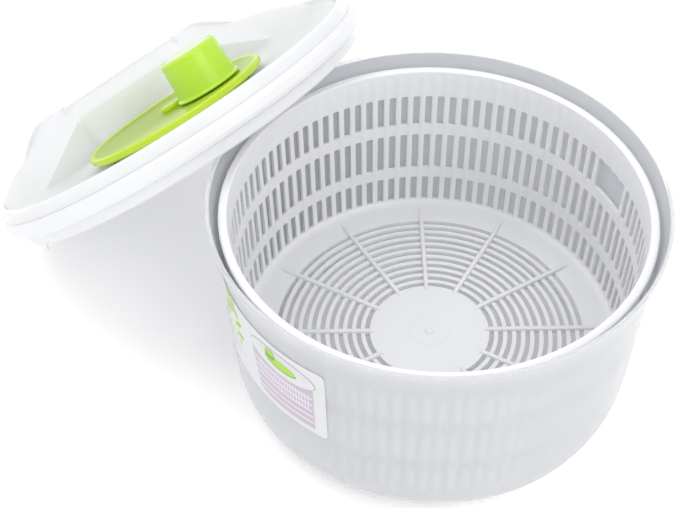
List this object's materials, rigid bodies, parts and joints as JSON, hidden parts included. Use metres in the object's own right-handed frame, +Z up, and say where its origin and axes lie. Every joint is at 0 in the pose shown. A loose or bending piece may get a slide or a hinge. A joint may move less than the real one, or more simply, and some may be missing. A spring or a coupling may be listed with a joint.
{
  "type": "salad spinner",
  "caption": "Hand-cranked salad spinner: round bowl, slotted basket on a pivot, and a geared crank lid taken off and leaning on the rim.",
  "frame": {"origin": "centre of the bowl's flat base, on the surface it stands on", "axes": "+Z up along the bowl axis, +Y towards the back, +X to the right as the bowl is seen from the front"},
  "size_m": [0.3931, 0.379, 0.1777],
  "materials": {
    "bowl_frosted": "frosted translucent",
    "label_print": "coated sticker",
    "basket_white": "satin moulded",
    "lid_clear": "clear moulded",
    "lid_frosted": "translucent moulded",
    "gear_white": "acetal",
    "bush": "turned",
    "steel": "turned",
    "crank_green": "translucent moulded",
    "knob_green": "gloss moulded",
    "cap_green": "translucent moulded"
  },
  "bodies": {
    "bowl": {"bowl": "bowl_frosted", "bowl_label": "label_print"},
    "basket": {"basket": "basket_white"},
    "lid": {"lid_shell": "lid_clear", "lid_rim": "lid_frosted", "shaft_bush": "bush", "idler_pins": "steel"},
    "idler_1": {"idler_gear_1": "gear_white"},
    "idler_2": {"idler_gear_2": "gear_white"},
    "idler_3": {"idler_gear_3": "gear_white"},
    "drive": {"sun_gear": "gear_white", "drive_shaft": "steel", "drive_plate": "basket_white", "drive_washer": "steel", "drive_screw": "steel", "crank_washer": "steel", "crank_screw": "steel"},
    "crank": {"crank_disc": "crank_green", "crank_ring_gear": "crank_green", "crank_cap": "knob_green", "knob_axle": "steel", "knob_washer": "steel", "knob_screw": "steel"},
    "knob": {"knob": "knob_green", "knob_cap": "cap_green"}
  },
  "joints": [
    {"name": "basket_spin", "type": "hinge", "parent": "bowl", "child": "basket", "pos_m": [0, 0, 0.0232], "axis": [0, 0, 1], "continuous": true},
    {"name": "lid_lift", "type": "slide", "parent": "bowl", "child": "lid", "axis": [0, 0, 1], "range_m": [0, 0.25]},
    {"name": "crank_spin", "type": "hinge", "parent": "lid", "child": "crank", "pos_m": [-0.15468, 0.12893, 0.09212], "axis": [-0.4981, 0.4027, 0.7679], "continuous": true},
    {"name": "drive_spin", "type": "hinge", "parent": "lid", "child": "drive", "pos_m": [-0.1487, 0.1241, 0.0829], "axis": [-0.4981, 0.4027, 0.7679], "continuous": true},
    {"name": "knob_spin", "type": "hinge", "parent": "crank", "child": "knob", "pos_m": [-0.13385, 0.1267, 0.11721], "axis": [-0.4981, 0.4027, 0.7679], "continuous": true},
    {"name": "idler_1_spin", "type": "hinge", "parent": "lid", "child": "idler_1", "pos_m": [-0.17015, 0.14144, 0.07031], "axis": [-0.4981, 0.4027, 0.7679], "continuous": true},
    {"name": "idler_2_spin", "type": "hinge", "parent": "lid", "child": "idler_2", "pos_m": [-0.15987, 0.10056, 0.09841], "axis": [-0.4981, 0.4027, 0.7679], "continuous": true},
    {"name": "idler_3_spin", "type": "hinge", "parent": "lid", "child": "idler_3", "pos_m": [-0.12803, 0.13996, 0.09841], "axis": [-0.4981, 0.4027, 0.7679], "continuous": true}
  ],
  "couplings": [
    {"joint": "drive_spin", "follows": "crank_spin", "ratio": -3.3333},
    {"joint": "idler_1_spin", "follows": "crank_spin", "ratio": 2.8571},
    {"joint": "idler_2_spin", "follows": "crank_spin", "ratio": 2.8571},
    {"joint": "idler_3_spin", "follows": "crank_spin", "ratio": 2.8571}
  ]
}
